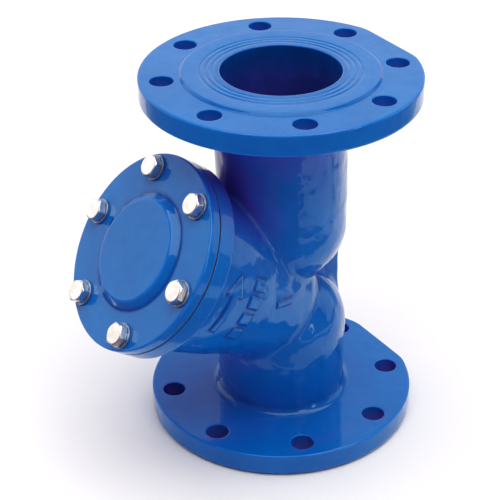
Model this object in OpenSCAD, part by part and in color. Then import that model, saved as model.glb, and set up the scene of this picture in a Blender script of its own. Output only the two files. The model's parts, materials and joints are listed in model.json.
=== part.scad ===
// Flanged Y strainer: a cast body with two line flanges and one inclined branch.
// The branch holds a cylindrical screen behind a bolted cover.
// Millimetres. The origin is the centre of the lower line face and +Z runs up the pipe axis.
// The branch leans towards -X. Branch pieces are drawn in the branch's own frame:
// its Z axis points out of the branch and its X axis lies in the plane of symmetry.

/* [Line flanges] */
// Outside diameter of a line flange
flange_d = 215; // [212:0.5:222]
// Thickness of a flange rim, without its raised face
flange_t = 17; // [15:0.5:22]
// Diameter of the raised sealing face
face_d = 153; // [150:1:158]
// Height of the raised sealing face
face_h = 2; // [1:0.5:3]
// Diameter of the bolt circle
flange_pcd = 180; // [178:0.5:182]
// Diameter of the bolt holes
flange_hole_d = 18; // [16:0.5:19]
// Number of bolt holes
flange_holes = 8; // [4:4:8]
// Distance from the pipe axis to the flat side of the rim
flat_reach = 102.6; // [100:0.2:107]

/* [Body] */
// Distance between the two line faces
face_to_face = 300; // [298:1:305]
// Bore of both ends
bore_d = 92; // [88:1:93]
// Outside diameter of both necks
neck_d = 103; // [101:0.5:104]
// Height of the centre of the upper neck's round end
upper_end_z = 172; // [170:1:174]
// Height of the centre of the lower neck's round end
lower_end_z = 78; // [76:1:79]
// Thickness of the rib behind the waist
rib_t = 11; // [8:0.5:14]
// Distance from the pipe axis to the rib's edge
rib_reach = 53.5; // [53:0.5:60]
// Radius of the fillets where necks and barrel meet their flanges
root_r = 7; // [4:0.5:8]

/* [Branch] */
// Angle between the pipe axis and the branch axis
branch_angle = 55; // [54:0.5:56]
// Height at which the branch axis crosses the pipe axis
branch_z = 94.5; // [93:0.5:96]
// Distance along the branch axis to the body's sealing face
branch_len = 144.5; // [142:0.5:148]
// Outside diameter of the branch flange, gasket and cover
branch_d = 154; // [152:1:158]
// Thickness of the branch flange
branch_t = 14; // [13:0.5:18]
// Diameter of the barrel behind the branch flange
barrel_d = 133; // [131:0.5:135]
// Diameter of the mouth that the screen passes through
mouth_d = 106; // [104:0.5:108]

/* [Cover] */
// Thickness of the cover's rim
cover_t = 9; // [8:0.5:12]
// Thickness of the gasket
gasket_t = 1; // [1:0.25:2]
// Height of the raised middle of the cover
dome_h = 5.5; // [4:0.5:7]
// Diameter of the raised middle at its foot
dome_foot_d = 92; // [92:1:98]
// Diameter of the raised middle at its top
dome_top_d = 79; // [74:1:84]
// Diameter of the cover's bolt circle
cover_pcd = 130; // [129:0.5:131]
// Number of cover bolts
cover_bolts = 6; // [6:1:6]
// Turn of the first cover bolt from the plane of symmetry
cover_turn = 27; // [24:1:30]

/* [Screen] */
// Outside diameter of the perforated tube
screen_d = 88; // [86:0.5:89]
// Wall of the perforated tube
screen_t = 1; // [0.8:0.1:1.2]
// Diameter of the holes in the tube
mesh_hole_d = 8; // [5:0.5:9]
// Number of rows of holes along the tube
mesh_rows = 8; // [4:1:8]
// Number of holes round the tube
mesh_round = 20; // [12:2:22]

/* [Hardware] */
// Thread diameter of the cover bolts
bolt_d = 10; // [10:1:10]
// Length of a bolt under its head
bolt_len = 20; // [18:1:20]
// Width across the flats of a bolt head
head_af = 16; // [16:0.5:17]
// Height of a bolt head
head_h = 6.4; // [6:0.2:7]
// Outside diameter of a washer
washer_d = 20; // [19:0.5:21]
// Thickness of a washer
washer_t = 2; // [1.5:0.25:2]

/* [Hidden] */
$fn = 96;

cast_blue = "royalblue";
eps = 0.5;                  // how far a cutter runs past the face it cuts
wall = (neck_d - bore_d) / 2;
fit = 0.1;                  // radial clearance of a sliding fit

// Groove rings cut in the raised faces, by radius
groove_radii = [52, 56.5, 61];
groove_w = 1.6;
groove_depth = 0.6;

// The inlet cavity ends below the outlet cavity, and the seat web lies between them
cavity_gap = 4;             // how much lower or higher each cavity ends than its neck
web_foot = 14;              // branch frame heights of the web that carries the screen seat
seat_s = 24;
seat_top = 32;
boss_r = 50.5;
port_r = 40;                // opening in the web
port_neck = [[30, 0], [port_r, 12]];

// Barrel outline in the branch frame, as [radius, height]
barrel_r = barrel_d / 2;
barrel_shell = [[37, 0], [48, 20], [51, 30], [barrel_r - 1.5, 95], [barrel_r, 126]];
barrel_wall = 6.5;
mouth_lip = 17;             // length of the mouth, measured back from the sealing face
seat_r = screen_d / 2 + 1.2;

// Stack heights in the branch frame
gasket_s = branch_len;
cover_s = gasket_s + gasket_t;
cover_face = cover_s + cover_t;
head_s = cover_face + washer_t;
recess_depth = 5;
screen_end = cover_s + recess_depth - fit;

// Screen rings
ring_r = seat_r - fit;
ring_in = screen_d / 2 - 3;
ring_h = seat_top - seat_s;
groove_floor = 3;           // solid end of each ring, under the groove for the tube
mesh_t = 0.4;
mesh_gap = 0.05;
tube_r = screen_d / 2;
tube_low = seat_s + groove_floor;
tube_high = screen_end - groove_floor;
seam_w = 12;
seam_t = 0.8;
seam_turn = 90;             // the seam faces sideways
seam_slit = 0.6;

// Bolts and holes
clear_r = bolt_d / 2 + 0.5;
tapped_r = bolt_d / 2 + 0.08;
tapped_depth = 11;
bolt_step = 360 / cover_bolts;
head_turns = [33, 12, 30, 8, -15, 27];  // turn of each head's first corner from its radial line

// Raised marks on the barrel's side: a flow arrow, a row of blank bars and one short bar
mark_h = 1.2;
arrow_s = 108;
bars_s = 84;
bar_l = 9;
bar_w = 12;
bar_pitch = 14;
bar_count = 4;

// Moves children into the branch frame
module on_branch(s = 0)
    translate([0, 0, branch_z]) rotate([0, -branch_angle, 0]) translate([0, 0, s]) children();

// Moves children to cover bolt k, in the branch frame
module at_bolt(k, s = 0)
    on_branch(s) rotate(cover_turn + bolt_step * (k - 1)) translate([cover_pcd / 2, 0, 0]) children();

module ring(r_out, r_in, h)
    difference() {
        cylinder(r = r_out, h = h);
        translate([0, 0, -eps]) cylinder(r = r_in, h = h + 2 * eps);
    }

// Concave fillet round a cylinder of radius r that stands on the plane z = 0
module root_fillet(r)
    rotate_extrude() difference() {
        translate([r - eps, -eps]) square(root_r + eps);
        translate([r + root_r, root_r - eps]) circle(root_r);
    }

// Shallow V grooves in a raised face at z = 0, with the metal below
module face_grooves()
    for (r = groove_radii)
        rotate_extrude()
            polygon([[r - groove_w / 2, eps], [r - groove_w / 2, 0], [r, -groove_depth],
                     [r + groove_w / 2, 0], [r + groove_w / 2, eps]]);

// Line flange with its raised face at z = 0 and its neck going up
module line_flange()
    difference() {
        union() {
            cylinder(d = face_d, h = face_h + eps);
            translate([0, 0, face_h]) cylinder(d = flange_d, h = flange_t);
            translate([0, 0, face_h + flange_t]) root_fillet(neck_d / 2);
        }
        translate([flat_reach, -flange_d, -eps]) cube([flange_d, 2 * flange_d, flange_t + face_h + 2 * eps]);
        for (k = [0 : flange_holes - 1])
            rotate(180 / flange_holes + k * 360 / flange_holes)
                translate([flange_pcd / 2, 0, -eps])
                    cylinder(d = flange_hole_d, h = flange_t + face_h + 2 * eps);
        mirror([0, 0, 1]) face_grooves();
    }

module necks() {
    translate([0, 0, face_h]) cylinder(d = neck_d, h = lower_end_z - face_h);
    translate([0, 0, lower_end_z]) sphere(d = neck_d + 1.4);
    translate([0, 0, upper_end_z]) cylinder(d = neck_d, h = face_to_face - upper_end_z - face_h);
    translate([0, 0, upper_end_z]) sphere(d = neck_d);
}

// Upright rib that ties the two necks together behind the waist
module rib()
    translate([0, rib_t / 2, 0]) rotate([90, 0, 0]) linear_extrude(rib_t)
        polygon([[10, lower_end_z - 10], [neck_d / 2 - 2, lower_end_z - 10], [rib_reach, lower_end_z + 4],
                 [rib_reach, upper_end_z - 4], [neck_d / 2 - 2, upper_end_z + 10], [10, upper_end_z + 10]]);

// Solid of revolution under a list of [radius, height] points
module turned(points)
    rotate_extrude()
        polygon(concat([[0, points[0][1]]], points, [[0, points[len(points) - 1][1]]]));

module barrel()
    on_branch() {
        turned(concat(barrel_shell, [[barrel_r, branch_len - eps]]));
        translate([0, 0, branch_len - branch_t]) cylinder(d = branch_d, h = branch_t);
        translate([0, 0, branch_len - branch_t]) mirror([0, 0, 1]) root_fillet(barrel_r);
    }

// Outlines of the raised marks, x along the branch and y round it, cut to mark_h above the barrel
module marks_outline() {
    translate([arrow_s, 0])
        polygon([[-2.5, -24], [2.5, -24], [2.5, 8], [8, 8], [0, 24], [-8, 8], [-2.5, 8]]);
    for (k = [0 : bar_count - 1])
        translate([bars_s - bar_w / 2, (k - (bar_count - 1) / 2) * bar_pitch - bar_l / 2])
            square([bar_w, bar_l]);
    translate([48, 13]) rotate(-24) square([17, 4.4], center = true);
}

module marks()
    on_branch() intersection() {
        turned([for (p = barrel_shell) [p[0] + mark_h, p[1]]]);
        rotate([90, 0, 0]) linear_extrude(barrel_d) rotate(90) mirror([0, 1, 0]) marks_outline();
    }

// Everything that is hollow in the body
module cavities() {
    difference() {
        union() {
            translate([0, 0, -eps]) cylinder(d = bore_d, h = lower_end_z - cavity_gap + eps);
            translate([0, 0, lower_end_z - cavity_gap]) sphere(d = bore_d);
        }
        on_branch(web_foot) translate([-branch_d, -branch_d, 0]) cube(2 * branch_d);
    }
    difference() {
        union() {
            translate([0, 0, upper_end_z + 3]) cylinder(d = bore_d, h = face_to_face - upper_end_z);
            translate([0, 0, upper_end_z + 3]) sphere(d = bore_d);
        }
        on_branch(seat_top - branch_d) cylinder(r = boss_r, h = branch_d);
    }
    on_branch() {
        turned(concat(port_neck, [[port_r, seat_s + eps]]));
        turned([[seat_r, seat_s], [seat_r, seat_top + 1], [47, 36], [51.5, 60],
                [barrel_shell[3][0] - barrel_wall, 95], [barrel_r - barrel_wall, branch_len - mouth_lip - 4],
                [mouth_d / 2, branch_len - mouth_lip], [mouth_d / 2, branch_len + eps]]);
    }
}

module body() color(cast_blue)
    difference() {
        union() {
            line_flange();
            translate([0, 0, face_to_face]) mirror([0, 0, 1]) line_flange();
            necks();
            rib();
            barrel();
            marks();
        }
        cavities();
        for (k = [1 : cover_bolts])
            at_bolt(k, branch_len - tapped_depth) cylinder(r = tapped_r, h = tapped_depth + eps);
    }

module cover() color(cast_blue)
    difference() {
        on_branch(cover_s) {
            cylinder(d = branch_d, h = cover_t);
            translate([0, 0, cover_t]) cylinder(d1 = dome_foot_d, d2 = dome_top_d, h = dome_h);
        }
        on_branch(cover_s - eps) cylinder(r = seat_r, h = recess_depth + eps);
        for (k = [1 : cover_bolts]) at_bolt(k, cover_s - eps) cylinder(r = clear_r, h = cover_t + 2 * eps);
    }

module cover_gasket() color("dimgray")
    difference() {
        on_branch(gasket_s) ring(branch_d / 2, mouth_d / 2, gasket_t);
        for (k = [1 : cover_bolts]) at_bolt(k, gasket_s - eps) cylinder(r = clear_r, h = gasket_t + 2 * eps);
    }

// Rolled perforated sheet; the holes stay clear of the seam strip
module screen_tube() color("silver")
    on_branch() difference() {
        translate([0, 0, tube_low]) ring(tube_r, tube_r - screen_t, tube_high - tube_low);
        for (row = [0 : mesh_rows - 1]) {
            s = seat_top + 10 + row * (tube_high - seat_top - 20) / (mesh_rows - 1);
            for (k = [0 : mesh_round - 1]) {
                turn = seam_turn + (k + 0.5 + (row % 2) / 2) * (360 - 20) / (mesh_round + 0.5) + 10;
                rotate(turn) translate([tube_r - 3, 0, s]) rotate([0, 90, 0]) cylinder(d = mesh_hole_d, h = 6);
            }
        }
        rotate(seam_turn) translate([tube_r - 3, -seam_slit / 2, tube_low - eps])
            cube([6, seam_slit, tube_high - tube_low + 2 * eps]);
    }

// Strip spot welded over the butt joint of the rolled sheet
module screen_seam() color("silver")
    on_branch(seat_top + fit) intersection() {
        ring(tube_r + seam_t, tube_r, tube_high - ring_h + groove_floor - seat_top - 2 * fit);
        rotate(seam_turn) translate([0, -seam_w / 2, 0]) cube([2 * tube_r, seam_w, branch_len]);
    }

// Fine wire mesh that lines the tube
module screen_mesh() color("gainsboro")
    on_branch(tube_low)
        ring(tube_r - screen_t - mesh_gap, tube_r - screen_t - mesh_gap - mesh_t, tube_high - tube_low);

// End ring with a groove that holds the tube and the mesh, opening towards +Z
module end_ring()
    difference() {
        ring(ring_r, ring_in, ring_h);
        translate([0, 0, groove_floor])
            ring(tube_r + mesh_gap, tube_r - screen_t - mesh_t - 2 * mesh_gap, ring_h);
    }

module screen_seat_ring() color("silver") on_branch(seat_s) end_ring();

module screen_end_ring() color("silver") on_branch(screen_end) mirror([0, 0, 1]) end_ring();

module washer(k) color("gainsboro")
    at_bolt(k, cover_face) ring(washer_d / 2, clear_r - 0.25, washer_t);

// Hexagon head bolt; the chamfer is the cut of a cone with the head
module bolt(k) color("whitesmoke")
    at_bolt(k, head_s) {
        rotate(head_turns[k - 1]) intersection() {
            cylinder(d = head_af / cos(30), h = head_h, $fn = 6);
            cylinder(r1 = head_af / 2 + 8, r2 = head_af / 2 - 0.3, h = head_h);
        }
        translate([0, 0, -bolt_len]) cylinder(d = bolt_d, h = bolt_len + eps);
    }

module washer_1() washer(1);
module washer_2() washer(2);
module washer_3() washer(3);
module washer_4() washer(4);
module washer_5() washer(5);
module washer_6() washer(6);
module bolt_1() bolt(1);
module bolt_2() bolt(2);
module bolt_3() bolt(3);
module bolt_4() bolt(4);
module bolt_5() bolt(5);
module bolt_6() bolt(6);

body();
cover();
cover_gasket();
screen_tube();
screen_seam();
screen_mesh();
screen_seat_ring();
screen_end_ring();
washer_1();
washer_2();
washer_3();
washer_4();
washer_5();
washer_6();
bolt_1();
bolt_2();
bolt_3();
bolt_4();
bolt_5();
bolt_6();
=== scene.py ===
"""Looks of the flanged Y strainer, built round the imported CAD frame.

Meshes are worked out in millimetres in the row frame (+Z up the pipe, the branch towards -X) and
are scaled to metres when their objects are made. The branch has a frame of its own: u lies in the
plane of symmetry and points up, v is +Y and w points out along the branch.
"""
import json
import math

import bmesh
import bpy
import numpy as np
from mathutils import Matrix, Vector
from mathutils.bvhtree import BVHTree
from mathutils.geometry import tessellate_polygon
from mathutils.kdtree import KDTree


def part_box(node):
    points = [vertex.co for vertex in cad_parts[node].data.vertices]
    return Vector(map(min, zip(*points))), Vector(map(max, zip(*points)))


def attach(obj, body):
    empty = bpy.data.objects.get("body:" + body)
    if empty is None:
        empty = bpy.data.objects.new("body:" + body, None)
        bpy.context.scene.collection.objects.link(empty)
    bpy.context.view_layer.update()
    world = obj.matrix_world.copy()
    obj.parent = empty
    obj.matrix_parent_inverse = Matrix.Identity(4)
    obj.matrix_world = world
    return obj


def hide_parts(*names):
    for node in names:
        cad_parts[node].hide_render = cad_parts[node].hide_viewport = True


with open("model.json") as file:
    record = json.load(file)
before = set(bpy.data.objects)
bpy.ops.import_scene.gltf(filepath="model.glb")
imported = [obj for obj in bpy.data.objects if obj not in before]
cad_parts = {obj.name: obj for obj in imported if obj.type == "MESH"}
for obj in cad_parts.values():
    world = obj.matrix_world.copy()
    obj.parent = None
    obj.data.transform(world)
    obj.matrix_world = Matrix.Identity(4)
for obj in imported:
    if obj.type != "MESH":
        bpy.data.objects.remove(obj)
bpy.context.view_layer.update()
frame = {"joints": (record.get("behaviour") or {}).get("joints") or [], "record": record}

# ---------------------------------------------------------------- sizes, in millimetres
MM = 1000.0
mounts = {m["name"]: m for m in frame["record"]["mounts"]}
joints = {j["name"]: j for j in frame["joints"]}

HEIGHT = mounts["outlet_face"]["pos_m"][2] * MM
FLANGE_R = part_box("body")[1].y * MM
FLAT_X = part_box("body")[1].x * MM
HOLE_CIRCLE_R = mounts["inlet_bolts"]["dims"]["pcd_mm"] / 2
HOLE_R = mounts["inlet_bolts"]["dims"]["hole_r_mm"]
HOLE_COUNT = mounts["inlet_bolts"]["dims"]["count"]
BOLTS = range(1, 7)

W = np.array(joints["cover_lift"]["axis"], float)
U = np.array([W[2], 0.0, -W[0]])
V = np.array([0.0, 1.0, 0.0])
bolt_points = {k: np.array(joints[f"bolt_{k}_turn"]["pos_m"]) * MM for k in BOLTS}
bolt_mean = sum(bolt_points.values()) / len(bolt_points)
HEAD_S = bolt_mean[0] / W[0]
BRANCH_O = bolt_mean - HEAD_S * W
BOLT_CIRCLE_R = float(np.linalg.norm(bolt_points[1] - bolt_mean))
BOLT_TURN = math.atan2((bolt_points[1] - bolt_mean) @ V, (bolt_points[1] - bolt_mean) @ U)

FLANGE_T, FACE_R, FACE_H = 17.0, 76.5, 2.0
NECK_R, BORE_R, ROOT_R = 51.5, 46.0, 7.0
UPPER_END, LOWER_END, CAVITY_GAP = 172.0, 78.0, 3.5
RIB_T, RIB_REACH = 11.0, 53.5
BRANCH_R, BRANCH_T, MOUTH_R = 77.0, 14.0, 53.0
WASHER_T, COVER_T, GASKET_T = 2.0, 9.0, 1.0
COVER_TOP = HEAD_S - WASHER_T
COVER_LOW = COVER_TOP - COVER_T
BRANCH_FACE = COVER_LOW - GASKET_T
SCREEN_R, SCREEN_T, SEAT_S = 44.0, 1.0, 24.0
RECESS_R, RECESS_DEPTH = 45.2, 5.0
STITCH = 30.0                 # how far from each line face the lathe-turned metal meets the cast middle
STITCH_S = 118.0              # the same on the branch, outside
STITCH_MOUTH = 132.0          # and inside
SEGMENTS = 192
HOLE_SEGMENTS = 48


# ---------------------------------------------------------------- mesh building
class Shell:
    """A mesh under construction. Each vertex has an edge tone and a hollow tone for the paint: the enamel
    lightens edges by the one, as thin paint and a painted highlight, and darkens hollows by the other, as
    paint pooling and painted shade; the metals paint their edges lighter as a highlight.
    """

    def __init__(self):
        self.points, self.faces, self.slots, self.edge, self.hollow = [], [], [], [], []

    def add(self, points, edge=0.0, hollow=0.0):
        start = len(self.points)
        self.points.extend(tuple(p) for p in points)
        count = len(self.points) - start
        self.edge.extend(np.broadcast_to(edge, count).tolist())
        self.hollow.extend(np.broadcast_to(hollow, count).tolist())
        return list(range(start, start + count))

    def face(self, corners, slot=0):
        self.faces.append(tuple(corners))
        self.slots.append(slot)

    def strip(self, a, b, slot=0):
        for i in range(len(a)):
            j = (i + 1) % len(a)
            self.face((a[i], a[j], b[j], b[i]), slot)

    def fan(self, loop, centre, slot=0):
        for i in range(len(loop)):
            self.face((loop[i], loop[(i + 1) % len(loop)], centre), slot)

    def zip(self, a, b, axes, slot=0):
        """Triangles between two loops of any counts, matched by angle round the turning axis."""
        def by_angle(loop):
            x, y, _ = axes.local([self.points[i] for i in loop])
            turn = np.arctan2(y, x)
            order = np.argsort(turn)
            return [loop[i] for i in order], turn[order]
        a, ta = by_angle(a)
        b, tb = by_angle(b)
        i = j = 0
        while i < len(a) or j < len(b):
            next_a = ta[i + 1] if i + 1 < len(a) else ta[0] + math.tau if i < len(a) else math.inf
            next_b = tb[j + 1] if j + 1 < len(b) else tb[0] + math.tau if j < len(b) else math.inf
            here_a, here_b = a[i % len(a)], b[j % len(b)]
            if next_a <= next_b:
                self.face((here_a, a[(i + 1) % len(a)], here_b), slot)
                i += 1
            else:
                self.face((here_a, b[(j + 1) % len(b)], here_b), slot)
                j += 1

    def fill(self, loops, axes, slot=0):
        """Flat face between an outer loop and the loops inside it."""
        def flat(i):
            return Vector((float(np.dot(self.points[i], axes.x)), float(np.dot(self.points[i], axes.y)), 0.0))
        every = [i for loop in loops for i in loop]
        for corners in tessellate_polygon([[flat(i) for i in loop] for loop in loops]):
            self.face([every[c] for c in corners], slot)

    def object(self, name, materials, sharp=None, merge=False):
        mesh = bpy.data.meshes.new(name)
        mesh.from_pydata([tuple(c / MM for c in p) for p in self.points], [], self.faces)
        mesh.polygons.foreach_set("material_index", self.slots)
        for label, values in (("edge", self.edge), ("hollow", self.hollow)):
            layer = mesh.attributes.new(label, "FLOAT", "POINT")
            layer.data.foreach_set("value", values)
        bm = bmesh.new()
        bm.from_mesh(mesh)
        if merge:
            bmesh.ops.remove_doubles(bm, verts=bm.verts, dist=2e-6)
        bmesh.ops.recalc_face_normals(bm, faces=bm.faces)
        bm.to_mesh(mesh)
        bm.free()
        mesh.polygons.foreach_set("use_smooth", [True] * len(mesh.polygons))
        if sharp is not None:
            mesh.set_sharp_from_angle(angle=math.radians(sharp))
        for material in materials:
            mesh.materials.append(material)
        obj = bpy.data.objects.new(name, mesh)
        bpy.context.scene.collection.objects.link(obj)
        return obj


class Axes:
    """A frame to turn profiles in: origin, two cross axes and the turning axis."""

    def __init__(self, origin, x, y, z):
        self.o, self.x, self.y, self.z = (np.asarray(a, float) for a in (origin, x, y, z))

    def place(self, points):
        p = np.asarray(points, float)
        return self.o + p[:, :1] * self.x + p[:, 1:2] * self.y + p[:, 2:3] * self.z

    def local(self, points):
        d = np.asarray(points, float) - self.o
        return d @ self.x, d @ self.y, d @ self.z

    def around(self, r, turn_by, z):
        """Points at the given radii, turns about the axis and heights along it, row by row."""
        parts = np.broadcast_arrays(r * np.cos(turn_by), r * np.sin(turn_by), z)
        return self.place(np.stack(parts, -1).reshape(-1, 3))

    def circle(self, r, z, count=SEGMENTS, centre=(0.0, 0.0)):
        a = np.arange(count) * math.tau / count
        return self.place(np.stack([centre[0] + r * np.cos(a), centre[1] + r * np.sin(a),
                                    np.full(count, z)], -1))


PIPE = Axes((0, 0, 0), (1, 0, 0), (0, 1, 0), (0, 0, 1))
PIPE_TOP = Axes((0, 0, HEIGHT), (1, 0, 0), (0, 1, 0), (0, 0, -1))
BRANCH = Axes(BRANCH_O, U, V, W)


def rounded(corners, steps=4, flat=1.2):
    """Path of (r, z, tone) points through corners (r, z, radius). A corner with a radius becomes an
    arc, with a point of the flat kept on each side of it, up to flat away. Its tone is 1 on an
    outside bend, and a negative radius marks a hollow bend, whose tone is -1."""
    path = []
    for i, (r, z, radius) in enumerate(corners):
        if not radius:
            path.append((r, z, 0.0))
            continue
        here = np.array([r, z])
        before, after = (np.array(corners[j][:2]) - here for j in (i - 1, i + 1))
        a, b = before / np.linalg.norm(before), after / np.linalg.norm(after)
        half = math.acos(float(np.clip(a @ b, -1, 1))) / 2
        size, tone = abs(radius), math.copysign(1.0, radius)
        middle = (a + b) / np.linalg.norm(a + b)
        centre = here + middle * size / math.sin(half)
        start, end = here + a * size / math.tan(half), here + b * size / math.tan(half)
        sweep = math.pi - 2 * half
        spare = min(0.8 * size, flat)
        path.append((*(start + a * spare), 0.0))
        for t in np.linspace(0, 1, steps + 1):
            ray = math.sin((1 - t) * sweep) * (start - centre) + math.sin(t * sweep) * (end - centre)
            path.append((*(centre + ray / math.sin(sweep)), tone if 0 < t < 1 else 0.4 * tone))
        path.append((*(end + b * spare), 0.0))
    return path


def tones(tone):
    return {"edge": max(tone, 0.0), "hollow": max(-tone, 0.0)}


def turn(shell, axes, profile, first=None, slot=0, count=SEGMENTS, centre=(0.0, 0.0)):
    """Turns a profile of (r, z, tone) points into rings joined by quads, from a first ring if one is
    given. Returns the first ring and the last."""
    ring = start = first
    for r, z, tone in profile:
        new = shell.add(axes.circle(r, z, count, centre), **tones(tone))
        if ring is not None:
            shell.strip(ring, new, slot)
        ring, start = new, start or new
    return start, ring


def holes(shell, axes, centres, profile, count=HOLE_SEGMENTS, slot=0):
    """Turned holes about the given centres. Returns the first and the last ring of each."""
    pairs = [turn(shell, axes, profile, slot=slot, count=count, centre=centre) for centre in centres]
    return [a for a, b in pairs], [b for a, b in pairs]


def polar(count, radius, phase):
    turns = [phase + k * math.tau / count for k in range(count)]
    return [(radius * math.cos(a), radius * math.sin(a)) for a in turns]


# ---------------------------------------------------------------- shapes as distance fields
def smooth_min(a, b, k):
    h = np.maximum(k - np.abs(a - b), 0.0) / k
    return np.minimum(a, b) - h * h * k / 4


def smooth_max(a, b, k):
    return -smooth_min(-a, -b, k)


def ramp(x, low, high):
    t = np.clip((x - low) / (high - low), 0.0, 1.0)
    return t * t * (3 - 2 * t)


def round_end(p, z, r, up):
    """A vertical round bar that ends in a sphere at height z and runs on up or down."""
    past = np.maximum(z - p[:, 2], 0.0) if up else np.maximum(p[:, 2] - z, 0.0)
    return np.sqrt(p[:, 0] ** 2 + p[:, 1] ** 2 + past ** 2) - r


def barrel_radius(s):
    """Outside radius of the cast barrel: a cone that eases into a near cylinder."""
    cone = 51.0 + 0.215 * (s - 30)
    drum = 66.0 + 0.03 * (s - 100)
    return smooth_min(cone, drum, 4.0)


def branch_coordinates(p):
    u, v, s = BRANCH.local(p)
    return np.hypot(u, v), s


RANDOM = np.random.default_rng(11)
WAVES = 22
wave_dirs = RANDOM.normal(size=(WAVES, 3))
wave_dirs /= np.linalg.norm(wave_dirs, axis=1)[:, None]
wave_lengths = RANDOM.uniform(11, 40, WAVES)
wave_phases = RANDOM.uniform(0, math.tau, WAVES)
CAST_SLOPE = 0.012            # how far a cast surface tilts, in radians for each wave


def waviness(p):
    """Slow hills and hollows of a sand-cast surface under paint."""
    total = np.zeros(len(p))
    for d, length, phase in zip(wave_dirs, wave_lengths, wave_phases):
        total += CAST_SLOPE * length / math.tau * np.sin(p @ d * math.tau / length + phase)
    return total


def cast_parts(p):
    rho, s = branch_coordinates(p)
    lower = round_end(p, LOWER_END, NECK_R + 0.7 * ramp(p[:, 2], 35, LOWER_END), False)
    upper = round_end(p, UPPER_END, NECK_R, True)
    barrel = smooth_max(rho - barrel_radius(s), 1.0 - s, 14.0)
    barrel = np.maximum(barrel, s - STITCH_S - 12)
    x, y, z = p[:, 0], np.abs(p[:, 1]), p[:, 2]
    middle = (UPPER_END + LOWER_END) / 2
    slope = 0.907 * (x - RIB_REACH) + 0.421 * (np.abs(z - middle) - (UPPER_END - LOWER_END) / 2 + 4)
    rib = smooth_max(smooth_max(x - RIB_REACH, y - RIB_T / 2, 3.0), np.maximum(slope, 5 - x), 3.0)
    return lower, upper, barrel, rib


def cast_outside(p):
    """Outside of the cast middle, with fillets where its parts meet."""
    lower, upper, barrel, rib = cast_parts(p)
    d = smooth_min(lower, upper, 5.0)
    d = smooth_min(d, barrel, 5.0)
    d = smooth_min(d, rib, 6.0)
    rho, s = branch_coordinates(p)
    fade = ramp(p[:, 2], STITCH, STITCH + 16) * ramp(HEIGHT - p[:, 2], STITCH, STITCH + 16)
    fade *= np.where(rho < BRANCH_R, ramp(STITCH_S - s, 0, 12), 1.0)
    return d - waviness(p) * fade


def cavity_radius(s):
    """Radius of the chamber round the screen, at each place along the branch."""
    return np.interp(s, [20, 34, 36, 60, 95, 123, 128, 140],
                     [46.0, 46.0, 47.0, 51.5, 58.5, 60.0, 53.0, 53.0])


def cast_inside(p):
    """The hollow of the body: negative where there is no metal."""
    rho, s = branch_coordinates(p)
    lower = smooth_max(round_end(p, LOWER_END - CAVITY_GAP, BORE_R, False), s - 14, 3.0)
    upper = round_end(p, UPPER_END + CAVITY_GAP, BORE_R, True)
    upper = smooth_max(upper, -np.maximum(rho - 50.5, s - 32), 4.0)
    port = np.maximum(rho - np.interp(s, [-4, 0, 12, 30], [27, 30, 40, 40]), np.maximum(-4 - s, s - 26))
    chamber = np.maximum(rho - cavity_radius(s), np.maximum(23.4 - s, s - STITCH_MOUTH - 8))
    d = smooth_min(lower, port, 3.0)
    d = np.minimum(d, chamber)
    return smooth_min(d, upper, 5.0)


def surface_net(field, low, high, step):
    """Quads over the zero surface of a field, one vertex in each cell that the surface crosses."""
    counts = [int(math.ceil((h - l) / step)) + 1 for l, h in zip(low, high)]
    axes = [l + step * np.arange(n) for l, n in zip(low, counts)]
    values = np.empty(counts)
    for i, x in enumerate(axes[0]):
        yy, zz = np.meshgrid(axes[1], axes[2], indexing="ij")
        values[i] = field(np.stack([np.full(yy.size, x), yy.ravel(), zz.ravel()], -1)).reshape(yy.shape)
    inside = values < 0
    cells = [n - 1 for n in counts]
    total = np.zeros(cells)
    crossing = np.zeros(cells + [3])
    for axis in range(3):
        others = [a for a in range(3) if a != axis]
        for da in (0, 1):
            for db in (0, 1):
                low_corner, high_corner = [slice(0, n) for n in cells], [slice(0, n) for n in cells]
                for a, shift in zip(others, (da, db)):
                    low_corner[a] = slice(shift, cells[a] + shift)
                    high_corner[a] = slice(shift, cells[a] + shift)
                high_corner[axis] = slice(1, cells[axis] + 1)
                v0, v1 = values[tuple(low_corner)], values[tuple(high_corner)]
                hit = (v0 < 0) != (v1 < 0)
                t = np.where(hit, v0 / np.where(hit, v0 - v1, 1.0), 0.0)
                total += hit
                crossing[..., axis] += t
                crossing[..., others[0]] += hit * da
                crossing[..., others[1]] += hit * db
    mixed = total > 0
    index = np.full(cells, -1)
    index[mixed] = np.arange(mixed.sum())
    where = np.argwhere(mixed)
    points = np.array(low) + step * (where + crossing[mixed] / total[mixed][:, None])
    points = settle(field, points)
    quads = []
    for axis in range(3):
        a, b = [k for k in range(3) if k != axis]
        low_corner, high_corner = [slice(None)] * 3, [slice(None)] * 3
        low_corner[axis], high_corner[axis] = slice(0, -1), slice(1, None)
        for k in (a, b):
            low_corner[k] = high_corner[k] = slice(1, -1)
        change = inside[tuple(low_corner)] != inside[tuple(high_corner)]
        at = np.argwhere(change)
        corner = []
        for da, db in ((0, 0), (1, 0), (1, 1), (0, 1)):
            cell = at.copy()
            cell[:, a] += da
            cell[:, b] += db
            corner.append(index[tuple(cell.T)])
        quads.append(np.stack(corner, -1))
    quads = np.concatenate(quads)
    return points, quads[(quads >= 0).all(1)]


def settle(field, points, rounds=3, reach=0.05):
    """Moves points onto the zero surface of a field."""
    for _ in range(rounds):
        value = field(points)
        slope = np.stack([(field(points + reach * e) - field(points - reach * e)) / (2 * reach)
                          for e in np.eye(3)], -1)
        points = points - slope * (value / np.maximum((slope ** 2).sum(1), 0.05))[:, None]
    return points


def to_bmesh(points, faces):
    bm = bmesh.new()
    verts = [bm.verts.new(p) for p in points]
    for f in faces:
        bm.faces.new([verts[i] for i in f])
    bm.faces.ensure_lookup_table()
    return bm


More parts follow.
